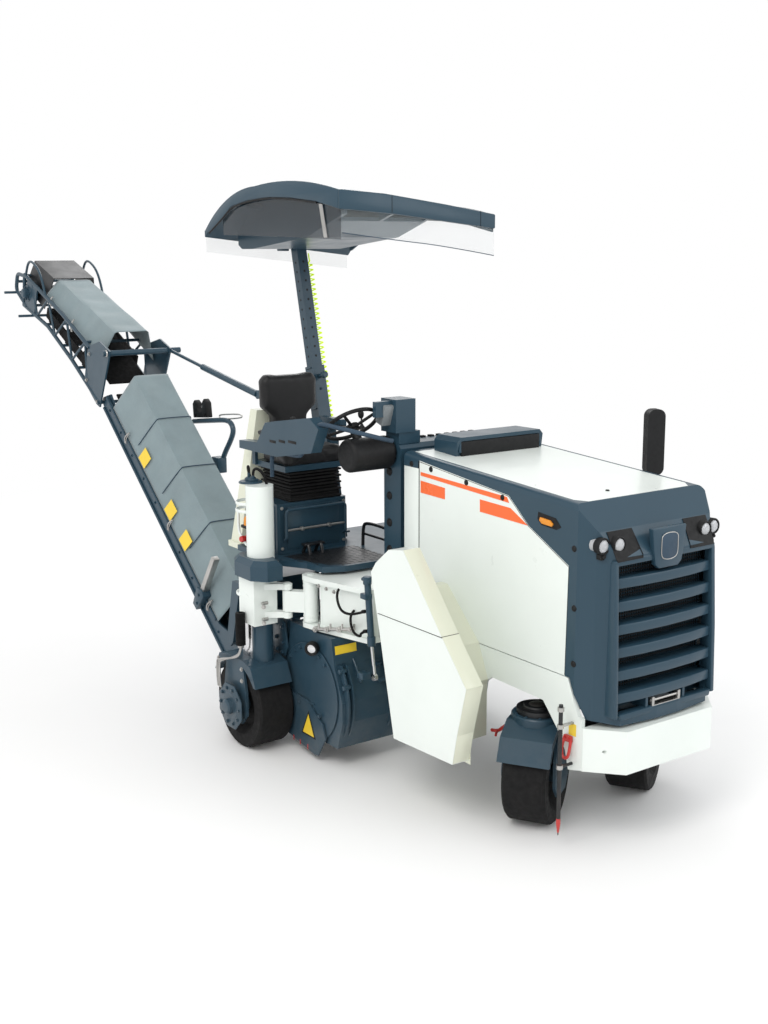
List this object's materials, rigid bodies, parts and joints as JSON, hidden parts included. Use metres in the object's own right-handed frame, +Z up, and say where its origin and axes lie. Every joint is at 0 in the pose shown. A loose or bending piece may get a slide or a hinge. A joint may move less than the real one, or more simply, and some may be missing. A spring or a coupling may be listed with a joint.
{
  "type": "cold planer milling machine",
  "caption": "Compact wheeled cold planer with a side milling drum, tilting hood, open operator's seat under a mast canopy and a folding rear loading conveyor.",
  "frame": {"origin": "centre of the bounding box at ground level, under the wheels", "axes": "+X forward, the way the machine mills; +Y to its left; +Z up"},
  "size_m": [7.3651, 2.1722, 3.7651],
  "materials": {
    "white_paint": "satin",
    "slate_paint": "satin",
    "grey_paint": "satin",
    "black_paint": "satin",
    "cast_iron": "rough",
    "tyre": "matt",
    "rubber": "matt",
    "black_plastic": "matt",
    "slate_plastic": "matt",
    "tarpaulin": "matt",
    "seat_cloth": "matt",
    "clear_sheet": "gloss",
    "lamp": "gloss",
    "cable": "satin"
  },
  "bodies": {
    "machine": {"chassis_frame": "black_paint", "rear_body": "white_paint", "engine_block": "black_paint", "front_axle_beam": "black_paint", "arm_bracket": "white_paint", "drum_housing": "white_paint", "side_skirts": "white_paint", "bumper": "white_paint", "fender_right": "white_paint", "arch_liner_right": "grey_paint", "fender_left": "white_paint", "platform": "grey_paint", "dash_post": "slate_paint", "seat_box": "grey_paint", "seat_bellows": "rubber", "seat_frame": "slate_plastic", "seat_cushion": "seat_cloth", "seat_back": "seat_cloth", "steering_wheel": "black_plastic", "steering_column": "black_plastic", "instrument_boxes": "black_plastic", "rear_cover": "white_paint", "mast_sleeve": "grey_paint", "mirror": "black_paint", "depth_rod": "black_paint"},
    "hood": {"hood_doors": "white_paint", "hood_roof": "white_paint", "hood_trim": "slate_paint", "grille": "black_plastic", "head_lamps": "lamp", "air_scoop": "black_plastic"},
    "knuckle_right": {"knuckle_right": "black_paint"},
    "knuckle_left": {"knuckle_left": "black_paint"},
    "front_wheel_right": {"wheel_front_right": "tyre"},
    "front_wheel_left": {"wheel_front_left": "tyre"},
    "swing_arm": {"swing_arm": "white_paint"},
    "leg_carrier": {"leg_clamp_right": "white_paint", "arm_cover": "slate_paint"},
    "leg_right": {"leg_right": "black_paint"},
    "rear_wheel_right": {"wheel_rear_right": "tyre"},
    "leg_left": {"leg_left": "black_paint"},
    "rear_wheel_left": {"wheel_rear_left": "tyre"},
    "drum": {"drum": "cast_iron"},
    "side_plate": {"side_plate": "black_paint"},
    "slew_yoke": {"slew_yoke": "slate_paint"},
    "conveyor": {"conveyor_lower": "slate_paint", "belt_lower": "rubber", "cover_lower": "tarpaulin"},
    "conveyor_tip": {"conveyor_upper": "slate_paint", "belt_upper": "rubber", "cover_upper": "tarpaulin", "head_hood": "black_paint", "conveyor_ram": "grey_paint"},
    "canopy": {"mast_inner": "grey_paint", "canopy_roof": "slate_paint", "canopy_frame": "black_paint", "canopy_skirts": "clear_sheet", "curly_cable": "cable"}
  },
  "joints": [
    {"name": "hood_tilt", "type": "hinge", "parent": "machine", "child": "hood", "pos_m": [1.793, 0.256, 2.06], "axis": [0, -1, 0], "range_deg": [0, 50]},
    {"name": "steer_right", "type": "hinge", "parent": "machine", "child": "knuckle_right", "pos_m": [2.989, -0.158, 0.3], "axis": [0, 0, 1], "range_deg": [-2.3, 117.7]},
    {"name": "steer_left", "type": "hinge", "parent": "machine", "child": "knuckle_left", "pos_m": [2.989, 0.67, 0.3], "axis": [0, 0, 1], "range_deg": [-2.3, 117.7]},
    {"name": "front_wheel_right_spin", "type": "hinge", "parent": "knuckle_right", "child": "front_wheel_right", "pos_m": [2.989, -0.158, 0.3], "axis": [0.8453, 0.5344, 0], "continuous": true},
    {"name": "front_wheel_left_spin", "type": "hinge", "parent": "knuckle_left", "child": "front_wheel_left", "pos_m": [2.989, 0.67, 0.3], "axis": [0.8453, 0.5344, 0], "continuous": true},
    {"name": "arm_swing", "type": "hinge", "parent": "machine", "child": "swing_arm", "pos_m": [1.345, -0.694, 1.06], "axis": [0, 0, 1], "range_deg": [0, 94]},
    {"name": "leg_turn", "type": "hinge", "parent": "swing_arm", "child": "leg_carrier", "pos_m": [1.227, -0.804, 1.06], "axis": [0, 0, 1], "range_deg": [-94, 0]},
    {"name": "leg_right_lift", "type": "slide", "parent": "leg_carrier", "child": "leg_right", "axis": [0, 0, 1], "range_m": [-0.06, 0.23]},
    {"name": "rear_wheel_right_spin", "type": "hinge", "parent": "leg_right", "child": "rear_wheel_right", "pos_m": [0.952, -0.908, 0.3], "axis": [0, 1, 0], "continuous": true},
    {"name": "leg_left_lift", "type": "slide", "parent": "machine", "child": "leg_left", "axis": [0, 0, 1], "range_m": [-0.06, 0.23]},
    {"name": "rear_wheel_left_spin", "type": "hinge", "parent": "leg_left", "child": "rear_wheel_left", "pos_m": [0.952, 0.696, 0.3], "axis": [0, 1, 0], "continuous": true},
    {"name": "drum_spin", "type": "hinge", "parent": "machine", "child": "drum", "pos_m": [1.402, -0.494, 0.458], "axis": [0, 1, 0], "continuous": true},
    {"name": "side_plate_lift", "type": "slide", "parent": "machine", "child": "side_plate", "axis": [0, 0, 1], "range_m": [0, 0.2]},
    {"name": "conveyor_slew", "type": "hinge", "parent": "machine", "child": "slew_yoke", "pos_m": [0.562, -0.494, 1.03], "axis": [0, 0, 1], "range_deg": [-25, 25]},
    {"name": "conveyor_raise", "type": "hinge", "parent": "slew_yoke", "child": "conveyor", "pos_m": [0.35204, -0.494, 0.55519], "axis": [0, 1, 0], "range_deg": [-15, 3]},
    {"name": "conveyor_fold", "type": "hinge", "parent": "conveyor", "child": "conveyor_tip", "pos_m": [-1.86131, -0.494, 2.0773], "axis": [0, -1, 0], "range_deg": [0, 105]},
    {"name": "canopy_lift", "type": "slide", "parent": "machine", "child": "canopy", "axis": [-0.2284, 0, 0.9736], "range_m": [-0.62, 0], "deforming": ["curly_cable"]}
  ],
  "couplings": [
    {"joint": "steer_left", "follows": "steer_right", "ratio": 1},
    {"joint": "leg_turn", "follows": "arm_swing", "ratio": -1}
  ]
}
